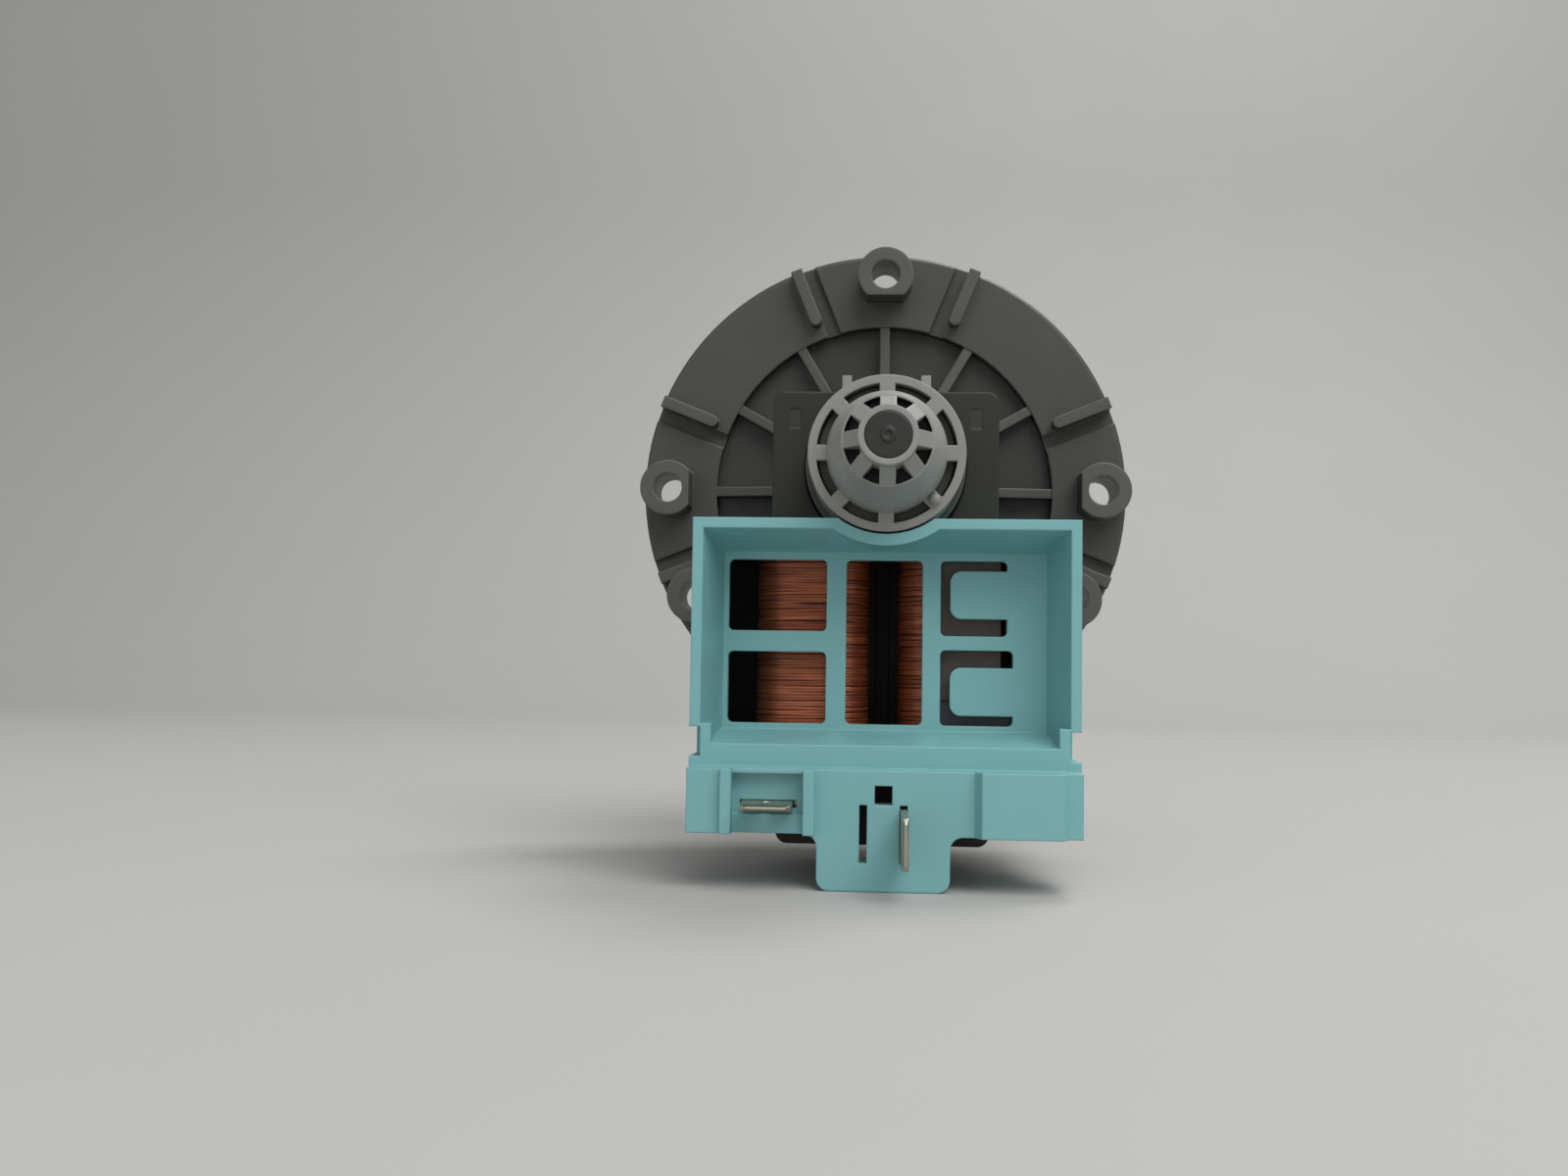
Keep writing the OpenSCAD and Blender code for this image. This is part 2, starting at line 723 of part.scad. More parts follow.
// Smallest gap between the wire and its own next loops, measured between the rings.
wire_gap = min([for (i = [0 : len(wire_path) - 1], j = [i + wire_rings / 2 : len(wire_path) - 1])
    norm(wire_path[i] - wire_path[j])]) - wire_d;
echo(wire_gap = wire_gap);

// Outer layer of a coil: one unbroken tube wound from the lower to the upper flange.
module right_winding() {
    rings = len(wire_path);
    points = [for (i = [0 : rings - 1], k = [0 : wire_sides - 1]) let (b = 360 * k / wire_sides)
        wire_path[i] + wire_d / 2 * [cos(b) * cos(wire_turn[i]), cos(b) * sin(wire_turn[i]), sin(b)]];
    walls = [for (i = [0 : rings - 2], k = [0 : wire_sides - 1]) let (n = (k + 1) % wire_sides,
            a = i * wire_sides + k, b = i * wire_sides + n, c = b + wire_sides, d = a + wire_sides)
        each [[a, b, c], [a, c, d]]];
    last = (rings - 1) * wire_sides;
    ends = [for (k = [1 : wire_sides - 2]) each [[0, k + 1, k], [last, last + k, last + k + 1]]];
    color(copper) polyhedron(points, concat(walls, ends));
}

module left_winding() {
    mirror([1, 0, 0]) right_winding();
}

// Insulating tape on the rear of the right coil, over the joint of its lead.
module coil_tape() {
    y_tape = core_mid - core_half - wire_offset - wire_d / 2 - fit;
    color(tape_brown) slab(y_tape, y_tape - tape_t)
        rounded_rect(tape_x - tape_w / 2, tape_x + tape_w / 2, z_winding_bottom + tape_short,
            z_winding_top - fit, tape_corner);
}

// Open-fronted cover over both coils, with a dished and windowed back and the terminal block below it.
module coil_cover() {
    color(cover_blue) difference() {
        union() {
            slab(y_cover_front, y_rim) translate([-cover_x, z_strip])
                square([cover_w, z_cover_top - z_strip]);
            terminal_block();
        }
        coil_room();
        dish();
        ring_piece(y_cover_front + past, y_rim - past, trough_r);
        translate([-leg_notch, y_leg_notch, z_strip - past])
            cube([2 * leg_notch, y_cover_front - y_leg_notch + past, z_cover_top - z_strip + 2 * past]);
        slab(y_panel_in + past, y_panel - past) cover_windows();
        for (side = [-1, 1]) translate([side * cover_x - notch_in, y_rim - past, z_notch - notch_h])
            cube([2 * notch_in, dish_depth + past - notch_floor, notch_h]);
        block_cuts();
    }
}

// Room for the coils, open towards the flange, below the trough that clears the retainer.
module coil_room() {
    difference() {
        translate([-cover_in, y_panel_in, z_floor_in])
            cube([2 * cover_in, y_cover_front - y_panel_in + past, z_cover_in - z_floor_in]);
        ring_piece(y_cover_front + 2 * past, y_rim, trough_r + trough_wall);
    }
}

// Dished back of the cover, narrower at its panel than at its rim.
module dish() {
    difference() {
        hull() {
            translate([-dish_x, y_rim - past / 10, z_dish_bottom])
                cube([2 * dish_x, past / 10, z_dish_top - z_dish_bottom]);
            translate([-panel_x, y_panel - past / 10, z_panel_bottom])
                cube([2 * panel_x, past / 10, z_panel_top - z_panel_bottom]);
        }
        ring_piece(y_panel + past, y_rim - past, trough_r + trough_wall);
        for (side = [-1, 1]) translate([side * dish_x - ledge_in, y_rim - past, z_dish_bottom - past])
            cube([2 * ledge_in, dish_depth + 2 * past, z_ledge - z_dish_bottom + past]);
    }
}

// Windows in the panel: two on the left, a tall one in the middle and two slots round tongues on the right.
module cover_windows() {
    for (z = [z_window_mid, z_window_low])
        rounded_rect(window_x, window_x + window_w, z, z + window_h, window_r);
    rounded_rect(-middle_window_w / 2, middle_window_w / 2, z_window_low, z_window_top, window_r);
    tongue_slot(z_window_top - slot_h, slot_w, z_window_top - tongue_edge - tongue_h);
    tongue_slot(z_window_low, slot_w + slot_longer, z_window_low + tongue_edge);
}

// A slot that runs round three sides of a tongue.
module tongue_slot(z_low, width, z_tongue) {
    difference() {
        rounded_rect(slot_x, slot_x + width, z_low, z_low + slot_h, window_r);
        rounded_rect(tongue_x, slot_x + 2 * width, z_tongue, z_tongue + tongue_h, tongue_r);
    }
}

// Terminal block with its end post, pocket wall, raised pad and hanging tab.
module terminal_block() {
    slab(y_panel_in, y_rim) translate([-block_x, z_block]) square([2 * block_x, block_h + bite]);
    slab(y_rim + bite, y_block) translate([-block_x, z_block]) square([2 * block_x, block_h]);
    slab(y_block + bite, y_block - post_rise)
        translate([-block_x, z_block]) square([block_x + post_x, block_h]);
    slab(y_block + bite, y_post) for (x = [post_x, divider_x])
        translate([x - divider_w, z_block]) square([divider_w, block_h]);
    translate([0, 0, z_block]) linear_extrude(block_h) polygon([
        [bump_x0 - bump_slope, y_block + bite], [bump_x0 - bump_slope, y_block], [bump_x0, y_post],
        [bump_x1, y_post], [bump_x1 + bump_slope, y_block], [bump_x1 + bump_slope, y_block + bite]]);
    slab(y_rim, y_block) {
        rounded_rect(-tab_w / 2, tab_w / 2, z_tab, z_block + block_h / 2, tab_corner);
        for (side = [-1, 1]) translate([side * tab_w / 2, z_block]) difference() {
            translate([-tab_corner, -tab_corner]) square(2 * tab_corner);
            translate([side * tab_corner, -tab_corner]) circle(r = tab_corner);
        }
    }
}

// Pocket, hollow, blade slots and key hole of the terminal block.
module block_cuts() {
    pocket_w = divider_x - divider_w - post_x;
    slab(y_blade_floor, y_post - past) translate([post_x, z_block + pocket_lip_h])
        square([pocket_w, block_h - pocket_lip_h - pocket_roof]);
    slab(y_blade_floor - pocket_lip_out, y_post - past) translate([post_x, z_block - past])
        square([pocket_w, pocket_lip_h + 2 * past]);
    slab(y_panel_in + past, y_rim) {
        translate([block_wall - block_x, z_block + block_wall])
            square([2 * (block_x - block_wall), block_h - 2 * block_wall]);
        translate([block_wall - tab_w / 2, z_block - past]) square([tab_w - 2 * block_wall, block_h / 2]);
    }
    translate([side_blade_x, 0, z_side_blade]) blade_slot();
    for (side = [-1, 1]) translate([side * slot_spread, 0, z_centre_blade]) swung(90) blade_slot();
    slab(y_rim + past, y_block - past) translate([-key_hole_w / 2, z_key_hole - key_hole_h])
        square([key_hole_w, key_hole_h]);
}

// Slot for a flat terminal blade.
module blade_slot() {
    slot_width = blade_w + 2 * blade_slack;
    slot_gap = blade_t + 2 * blade_gap;
    translate([-slot_width / 2, y_post - past, -slot_gap / 2])
        cube([slot_width, y_rim - y_post + 2 * past, slot_gap]);
}

// Flat blade with a chamfered tip, a detent hole, shoulders behind the slot and a tail for the wire.
module terminal_blade(y_tip) {
    y_shoulder_in = y_rim + fit;
    y_tail = y_shoulder_in + blade_shoulder_len;
    half_t = blade_t / 2;
    difference() {
        translate([0, 0, -half_t]) linear_extrude(blade_t) polygon([
            [blade_w / 2, y_shoulder_in], [blade_w / 2, y_tip + blade_tip], [blade_w / 2 - blade_tip, y_tip],
            [blade_tip - blade_w / 2, y_tip], [-blade_w / 2, y_tip + blade_tip],
            [-blade_w / 2, y_shoulder_in], [-blade_shoulder_w / 2, y_shoulder_in],
            [-blade_shoulder_w / 2, y_tail], [-blade_w / 4, y_tail], [-blade_w / 4, y_tail + blade_tail],
            [blade_w / 4, y_tail + blade_tail], [blade_w / 4, y_tail], [blade_shoulder_w / 2, y_tail],
            [blade_shoulder_w / 2, y_shoulder_in]]);
        translate([0, y_tip + blade_hole_in, -blade_t]) cylinder(d = blade_hole_d, h = 2 * blade_t);
        for (side = [-1, 1]) translate([-blade_w, 0, 0]) rotate([90, 0, 90]) linear_extrude(2 * blade_w)
            polygon([[y_tip - past, side * blade_t], [y_tip - past, side * (half_t - blade_edge)],
                [y_tip, side * (half_t - blade_edge)], [y_tip + blade_tip, side * half_t],
                [y_tip + blade_tip, side * blade_t]]);
    }
}

module side_terminal() {
    color(tin) translate([side_blade_x, 0, z_side_blade]) terminal_blade(y_blade_floor - side_blade_out);
}

module centre_terminal() {
    color(tin) translate([slot_spread, 0, z_centre_blade]) swung(90)
        terminal_blade(y_block - centre_blade_out);
}

// Temperature cut-out that lies in the hollow of the terminal block.
module thermal_cutout() {
    color(bobbin_black) slab(y_rim + fit + cutout_len, y_rim + fit)
        rounded_rect(cutout_x - cutout_w / 2, cutout_x + cutout_w / 2, z_block + block_wall + fit,
            z_block + block_wall + fit + cutout_h, cutout_corner);
}

// Wire that joins the two coils in series, laid on the lower bobbin flanges.
module coil_link_wire() {
    color(copper) translate([fit - winding_in, core_mid, z_winding_bottom + fit + link_d / 2])
        rotate([0, 90, 0]) cylinder(d = link_d, h = 2 * (winding_in - fit));
}

// Cage that slides over the tube's neck, clips over the poles and holds the stack against the hub.
module stator_retainer() {
    color(retainer_grey) {
        ring_piece(y_shoulder - fit, y_ring, ring_r, skirt_in);
        about_axis() rotate_extrude() polygon(concat([[dome_r, y_ring + spoke_t]], dome_curve, [
            [lip_r, y_lip - lip_t], [lip_in, y_lip - lip_t], [dome_r - dome_wall, y_ring],
            [dome_r - dome_wall, y_ring + spoke_t]]));
        ring_piece(y_lip + tooth_t, y_crown, crown_out, crown_in);
        for (a = [0 : 360 / spoke_count : 359]) swung(a) {
            fin(spoke_w) polygon([[dome_r - bite, y_ring + spoke_t], [skirt_in + bite, y_ring + spoke_t],
                [skirt_in + bite, y_ring], [dome_r - bite, y_ring]]);
            fin(spoke_w) polygon([[crown_out - bite, y_lip + tooth_t], [lip_r, y_lip + tooth_t],
                [lip_in + lip_wall / 2, y_lip - lip_t / 2], [crown_out - bite, y_crown + tooth_drop]]);
        }
        for (side = [-1, 1]) translate([side * hook_x - hook_w / 2, 0, 0]) pole_hook();
        swung(nub_angle) translate([dome_r + nub_out, y_ring - nub_lift, 0]) sphere(r = nub_r);
    }
}

// Hook that stands on the skirt and reaches forward over the rear face of a pole.
module pole_hook() {
    translate([0, y_shoulder - fit - hook_t, hook_root]) cube([hook_w, hook_t, hook_top - hook_root]);
    translate([0, y_shoulder - fit - hook_t, hook_low])
        cube([hook_w, y_core_rear - y_shoulder + hook_t, hook_top - hook_low]);
}

module rear_bearing() {
    color(bronze) ring_piece(y_rear_bearing, y_rear_bearing_end, rear_bearing_r, shaft_r + run);
}

// Rubber cup that holds the rear bearing in the tube's pocket.
module rear_bearing_cup() {
    color(rubber_black) difference() {
        ring_piece(y_pocket, y_pocket_end + fit, cup_r);
        ring_piece(y_pocket + past, y_cup_floor, rear_bearing_r + press);
    }
}

module front_bearing() {
    color(bronze) ring_piece(y_front_bearing, y_front_bearing_end, front_bearing_r, shaft_r + run);
}

// Plug that carries the front bearing and the shaft seal in the mouth of the tube.
module front_bearing_holder() {
    color(housing_grey) difference() {
        union() {
            ring_piece(0, -holder_len, holder_r);
            ring_piece(0, fit - collar_t, collar_r);
        }
        ring_piece(past, -holder_len - past, shaft_r + play);
        ring_piece(y_front_bearing, -holder_len - past, front_bearing_r + press);
        ring_piece(past, -seal_seat_depth, shaft_seal_r + press);
        ring_piece(y_holder_groove + holder_groove_w / 2, y_holder_groove - holder_groove_w / 2,
            holder_r + past, holder_seal_mid - holder_seal_d / 2 - fit);
    }
}

// Rubber ring in the groove of the front bearing holder.
module holder_seal() {
    color(rubber_black) about_axis() rotate_extrude()
        translate([holder_seal_mid, y_holder_groove]) circle(d = holder_seal_d);
}

// Lip seal with two lips round the shaft.
module shaft_seal() {
    lip = shaft_r + run;
    color(rubber_black) about_axis() rotate_extrude() polygon([
        [shaft_seal_r, fit - seal_seat_depth], [shaft_seal_r, 0], [lip + seal_lip_root, seal_lip_h / 4],
        [lip + seal_lip_t, seal_lip_h], [lip, seal_lip_h], [lip, seal_lip_h / 2],
        [lip + seal_waist, -seal_lip_h / 2],
        [lip, fit - seal_seat_depth + seal_lip_h / 2], [lip, fit - seal_seat_depth]]);
}

module rotor_magnet() {
    color(ferrite) ring_piece(y_magnet_rear + magnet_len, y_magnet_rear, magnet_r, sleeve_r + press);
}

// Sleeve that carries the magnet on the shaft.
module rotor_sleeve() {
    color(bobbin_black) ring_piece(y_sleeve_front, y_sleeve_rear, sleeve_r, shaft_r + press);
}

module rotor_shaft() {
    color(steel_bright) ring_piece(y_shaft_end, y_rear_bearing_end + slip, shaft_r);
}

module rear_thrust_washer() {
    color(bronze) ring_piece(y_sleeve_rear, y_rear_washer, washer_r, shaft_r + press);
}

module front_thrust_washer() {
    color(bronze) ring_piece(y_front_washer, y_sleeve_front, washer_r, shaft_r + press);
}

// Dog on the shaft that picks the impeller up after part of a turn.
module drive_dog() {
    color(retainer_grey) {
        ring_piece(y_dog + dog_len, y_dog, dog_hub_r, shaft_r + press);
        sector(90, key_angle, dog_hub_r - bite, dog_r, y_dog + dog_len, y_dog);
    }
}

// Impeller with straight vanes and a hollow hub that holds the key for the dog.
module impeller() {
    hub_radius = impeller_hub_d / 2;
    y_vane = y_impeller + vane_gap;
    vane_end = impeller_d / 2;
    color(impeller_white) difference() {
        union() {
            ring_piece(y_cap_front, y_impeller, hub_radius);
            ring_piece(y_vane + back_disc_t, y_vane, back_disc_r);
            for (a = [0 : 360 / vane_count : 359]) swung(a) fin(vane_t) polygon([
                [hub_radius - vane_root, y_vane], [vane_end, y_vane],
                [vane_end, y_vane + vane_h - vane_chamfer], [vane_end - vane_chamfer, y_vane + vane_h],
                [hub_radius - vane_root, y_vane + vane_h]]);
        }
        ring_piece(y_cavity + past, y_impeller - past, shaft_r + run);
        difference() {
            ring_piece(y_cavity_end + past, y_cavity, cavity_r);
            sector(270, key_angle, key_in, cavity_r + past, y_cavity_end - slip, y_cavity - past);
        }
        ring_piece(y_cap_front + vane_h, y_cavity_end, cap_r);
    }
}

// Cap that closes the hub and guides the end of the shaft.
module impeller_cap() {
    color(impeller_white) difference() {
        about_axis() rotate_extrude() polygon([
            [0, y_cavity_end], [cap_r - press, y_cavity_end], [cap_r - press, y_cap_front],
            [nose_r, y_cap_front], [nose_r - nose_h / 2, y_cap_front + nose_h], [0, y_cap_front + nose_h]]);
        ring_piece(y_cap_front + nose_bore, y_cavity_end - past, shaft_r + run);
    }
}

// Two rubber pads on the sides of the impeller's key.
module drive_damper() {
    color(rubber_black) for (side = [-1, 1])
        sector(270 + side * (key_angle + damper_angle + damper_ease) / 2, damper_angle, key_in,
            cavity_r - fit, y_cavity_end - slip, y_cavity + fit);
}

motor_housing();
flange_seal();
left_pole();
right_pole();
stator_yoke();
left_bobbin();
right_bobbin();
left_coil();
right_coil();
left_winding();
right_winding();
coil_tape();
coil_cover();
side_terminal();
centre_terminal();
thermal_cutout();
coil_link_wire();
stator_retainer();
rear_bearing();
rear_bearing_cup();
front_bearing();
front_bearing_holder();
holder_seal();
shaft_seal();
rotor_magnet();
rotor_sleeve();
rotor_shaft();
rear_thrust_washer();
front_thrust_washer();
drive_dog();
impeller();
impeller_cap();
drive_damper();
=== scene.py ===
"""Looks of a washing machine drain pump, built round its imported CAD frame.

Sizes in this file are millimetres, and meshes are written in metres.
The rotor axis is Y, the impeller is at +Y and the coil cover hangs below the axis at -Z.
"""
import logging
import math
from dataclasses import dataclass
from enum import Enum
from typing import Any

import bpy
import numpy as np
from mathutils import Matrix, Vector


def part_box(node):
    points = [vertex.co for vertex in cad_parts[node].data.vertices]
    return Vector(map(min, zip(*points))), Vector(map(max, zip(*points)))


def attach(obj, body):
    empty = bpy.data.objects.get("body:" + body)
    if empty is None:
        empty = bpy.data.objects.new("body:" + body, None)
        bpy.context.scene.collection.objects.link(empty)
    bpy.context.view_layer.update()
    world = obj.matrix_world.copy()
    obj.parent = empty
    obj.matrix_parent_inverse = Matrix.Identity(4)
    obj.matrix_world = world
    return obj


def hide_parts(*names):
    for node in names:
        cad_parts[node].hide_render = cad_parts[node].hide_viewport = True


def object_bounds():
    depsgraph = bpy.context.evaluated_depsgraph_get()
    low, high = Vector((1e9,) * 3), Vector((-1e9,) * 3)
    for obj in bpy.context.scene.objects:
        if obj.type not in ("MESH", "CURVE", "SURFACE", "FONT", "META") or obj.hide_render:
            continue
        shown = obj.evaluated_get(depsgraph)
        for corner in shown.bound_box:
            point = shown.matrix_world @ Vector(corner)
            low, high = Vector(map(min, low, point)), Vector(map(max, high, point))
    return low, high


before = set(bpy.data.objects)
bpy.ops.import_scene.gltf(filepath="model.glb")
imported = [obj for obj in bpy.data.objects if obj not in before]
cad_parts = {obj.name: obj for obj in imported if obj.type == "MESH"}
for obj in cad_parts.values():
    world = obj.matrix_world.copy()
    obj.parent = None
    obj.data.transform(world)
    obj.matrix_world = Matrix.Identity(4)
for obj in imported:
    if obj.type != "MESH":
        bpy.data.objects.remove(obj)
CAD_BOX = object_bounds()

MM = 0.001
LOG = logging.getLogger("drain_pump")

Tree = bpy.types.NodeTree
Socket = bpy.types.NodeSocket
Point = tuple[float, float, float]

# Values between which nearly all of a noise texture lies.
NOISE_LOW, NOISE_HIGH = 0.3, 0.7
# Changes of gloss over one patch of colour.
GLOSS_PER_PATCH = 3
# Rays that find the rounding of an edge.
EDGE_RAYS = 6
# Share of the grain's height that the light sees.
GRAIN_SHARE = 0.6
# Cosines of the turn from face to rounding at which an edge starts to be painted paler and is fully so; the
# paling is part wear and part painted highlight.
EDGE_WEAR_HIGHLIGHT_STARTS, EDGE_WEAR_HIGHLIGHT_FULL = 0.98, 0.75
# Bands that Blender's wave texture draws in one unit at a scale of one.
WAVE_BANDS = 10 / math.pi
# Tone that a white stop of the tone ramp stands for.
RAMP_TOP = 2.0


class Side(Enum):
    """The two coils, with the sign of X where each one stands."""

    LEFT = -1
    RIGHT = 1


def linear(code: str) -> tuple[float, float, float, float]:
    """Turn an sRGB hex colour into linear light.

    Args:
        code: Colour as #RRGGBB.

    Returns:
        Red, green, blue and an alpha of one.
    """
    srgb = np.array([int(code[i:i + 2], 16) for i in (1, 3, 5)]) / 255
    rgb = np.where(srgb <= 0.04045, srgb / 12.92, ((srgb + 0.055) / 1.055) ** 2.4)
    return (*map(float, rgb), 1.0)


def per_metre(size_mm: float) -> float:
    """Give the pattern scale at which one cell is size_mm wide."""
    return 1 / (size_mm * MM)


def add(tree: Tree, kind: str, settings: dict[str | int, Any] | None = None,
        links: dict[str | int, Socket] | None = None) -> bpy.types.Node:
    """Add one shader node.

    Args:
        tree: Node tree that gets the node.
        kind: Blender's name of the node's type.
        settings: Values by attribute name, or else by the name or number of an input.
        links: Output sockets by the name or number of the input that each one feeds.

    Returns:
        The new node.
    """
    node = tree.nodes.new(kind)
    for key, value in (settings or {}).items():
        if isinstance(key, str) and hasattr(node, key):
            setattr(node, key, value)
        else:
            node.inputs[key].default_value = value
    for key, socket in (links or {}).items():
        tree.links.new(socket, node.inputs[key])
    return node


@dataclass(frozen=True)
class Finish:
    """A surface with a patchy colour, a fine grain, a change of gloss and edges painted paler, part wear and
    part painted highlight.

    Attributes:
        name: Name of the material.
        light: Colour of the pale patches.
        dark: Colour of the dark patches.
        patch_mm: Size of a patch.
        grain_mm: Size of the surface's grain.
        grain_depth_mm: Height of the grain.
        roughness: Lowest and highest roughness.
        metallic: One for bare metal.
        ior: Index of refraction.
        coat: Weight of a clear layer on top.
        edge_mm: Radius of the rounding that sharp edges show.
        edge_wear_and_highlight: Share by which rounded edges are paler than the faces.
    """

    name: str
    light: str
    dark: str
    patch_mm: float = 14.0
    grain_mm: float = 0.45
    grain_depth_mm: float = 0.03
    roughness: tuple[float, float] = (0.42, 0.55)
    metallic: float = 0.0
    ior: float = 1.5
    coat: float = 0.0
    edge_mm: float = 0.3
    # edge_wear_and_highlight: Share by which rounded edges are painted paler than the faces, part wear and
    # part painted highlight.
    edge_wear_and_highlight: float = 0.15

    def make(self) -> bpy.types.Material:
        """Build the material.

        Returns:
            A node material that reads Object coordinates.
        """
        material = bpy.data.materials.new(self.name)
        material.use_nodes = True
        tree = material.node_tree
        tree.nodes.clear()
        place = add(tree, "ShaderNodeTexCoord").outputs["Object"]
        colour, height = self.pattern(tree, place)
        gloss = add(tree, "ShaderNodeTexNoise",
                    {"Scale": per_metre(self.patch_mm / GLOSS_PER_PATCH), "Detail": 4.0}, {"Vector": place})
        rough = add(tree, "ShaderNodeMapRange",
                    {"From Min": NOISE_LOW, "From Max": NOISE_HIGH,
                     "To Min": self.roughness[0], "To Max": self.roughness[1]}, {"Value": gloss.outputs[0]})
        rounded = add(tree, "ShaderNodeBevel",
                      {"samples": EDGE_RAYS, "Radius": self.edge_mm * MM}).outputs[0]
        bump = add(tree, "ShaderNodeBump",
                   {"Strength": GRAIN_SHARE, "Distance": self.grain_depth_mm * MM},
                   {"Height": height, "Normal": rounded})
        # Rounded edges are painted paler than the faces: part wear, part painted highlight.
        facing = add(tree, "ShaderNodeNewGeometry").outputs["Normal"]
        turned = add(tree, "ShaderNodeVectorMath", {"operation": "DOT_PRODUCT"}, {0: rounded, 1: facing})
        edge_wear_and_highlight_gain = add(tree, "ShaderNodeMapRange",
                   {"From Min": EDGE_WEAR_HIGHLIGHT_STARTS, "From Max": EDGE_WEAR_HIGHLIGHT_FULL, "To Min": 1.0, "To Max": 1 + self.edge_wear_and_highlight},
                   {"Value": turned.outputs["Value"]})
        colour = add(tree, "ShaderNodeVectorMath", {"operation": "SCALE"},
                     {0: colour, "Scale": edge_wear_and_highlight_gain.outputs[0]}).outputs[0]
        shader = add(tree, "ShaderNodeBsdfPrincipled",
                     {"Metallic": self.metallic, "IOR": self.ior, "Coat Weight": self.coat},
                     {"Base Color": colour, "Roughness": rough.outputs[0], "Normal": bump.outputs[0]})
        add(tree, "ShaderNodeOutputMaterial", {}, {"Surface": shader.outputs[0]})
        return material

    def pattern(self, tree: Tree, place: Socket) -> tuple[Socket, Socket]:
        """Lay soft patches of colour under a fine grain.

        Args:
            tree: Node tree of the material.
            place: Coordinates of the surface.

        Returns:
            Colour and height of the surface.
        """
        patches = add(tree, "ShaderNodeTexNoise",
                      {"Scale": per_metre(self.patch_mm), "Detail": 5.0, "Roughness": 0.6}, {"Vector": place})
        colour = add(tree, "ShaderNodeMix",
                     {"data_type": "RGBA", 6: linear(self.dark), 7: linear(self.light)},
                     {0: patches.outputs[0]})
        grain = add(tree, "ShaderNodeTexNoise",
                    {"Scale": per_metre(self.grain_mm), "Detail": 2.0}, {"Vector": place})
        return colour.outputs[2], grain.outputs[0]


@dataclass(frozen=True)
class SheetStack(Finish):
    """Varnished electrical steel in a stack: fine lines where the sheets' edges show.

    Attributes:
        sheet_mm: Pitch of the sheets, drawn a little coarser than the real 0.5 so that it shows.
        seam_width: Height of the wave below which a seam darkens.
        seam_tone: Tone of a seam's bottom, where a sheet's is one.
    """

    sheet_mm: float = 0.8
    seam_width: float = 0.35
    seam_tone: float = 0.45

    def pattern(self, tree: Tree, place: Socket) -> tuple[Socket, Socket]:
        """Add a line along Y for each sheet to the patches.

        Args:
            tree: Node tree of the material.
            place: Coordinates of the surface.

        Returns:
            Colour and height of the surface.
        """
        colour, grain = super().pattern(tree, place)
        lines = add(tree, "ShaderNodeTexWave",
                    {"bands_direction": "Y", "Scale": per_metre(self.sheet_mm) / WAVE_BANDS,
                     "Distortion": 0.0}, {"Vector": place})
        seam = add(tree, "ShaderNodeMapRange",
                   {"From Min": 0.0, "From Max": self.seam_width, "To Min": self.seam_tone, "To Max": 1.0},
                   {"Value": lines.outputs[1]})
        shade = add(tree, "ShaderNodeMix", {"data_type": "RGBA", "blend_type": "MULTIPLY", 0: 1.0},
                    {6: colour, 7: seam.outputs[0]})
        height = add(tree, "ShaderNodeMath", {"operation": "ADD"}, {0: seam.outputs[0], 1: grain})
        return shade.outputs[2], height.outputs[0]


@dataclass(frozen=True)
class WoundWire(Finish):
    """Enamelled copper wire: each turn has its own tone, which changes slowly along the wire.

    Attributes:
        turns: Change of tone from one turn to the next, in noise cells.
        along: Change of tone on the way round a turn, in noise cells.
        tones: Values of the noise at which the wire is darkest and palest.
    """

    turns: float = 3.1
    along: float = 2.0
    tones: tuple[float, float] = (0.28, 0.72)

    def pattern(self, tree: Tree, place: Socket) -> tuple[Socket, Socket]:
        """Tone the wire by its own map, whose U is the turn and V the way round.

        Args:
            tree: Node tree of the material.
            place: Coordinates of the surface.

        Returns:
            Colour and height of the surface.
        """
        own = add(tree, "ShaderNodeUVMap", {"uv_map": "wire"})
        spread = add(tree, "ShaderNodeMapping", {"Scale": (self.turns, self.along, 1.0)},
                     {"Vector": own.outputs[0]})
        tone = add(tree, "ShaderNodeTexNoise", {"Scale": 1.0, "Detail": 3.0, "Roughness": 0.7},
                   {"Vector": spread.outputs[0]})
        wide = add(tree, "ShaderNodeMapRange", {"From Min": self.tones[0], "From Max": self.tones[1]},
                   {"Value": tone.outputs[0]})
        colour = add(tree, "ShaderNodeMix",
                     {"data_type": "RGBA", 6: linear(self.dark), 7: linear(self.light)},
                     {0: wide.outputs[0]})
        grain = add(tree, "ShaderNodeTexNoise", {"Scale": per_metre(self.grain_mm)}, {"Vector": place})
        return colour.outputs[2], grain.outputs[0]


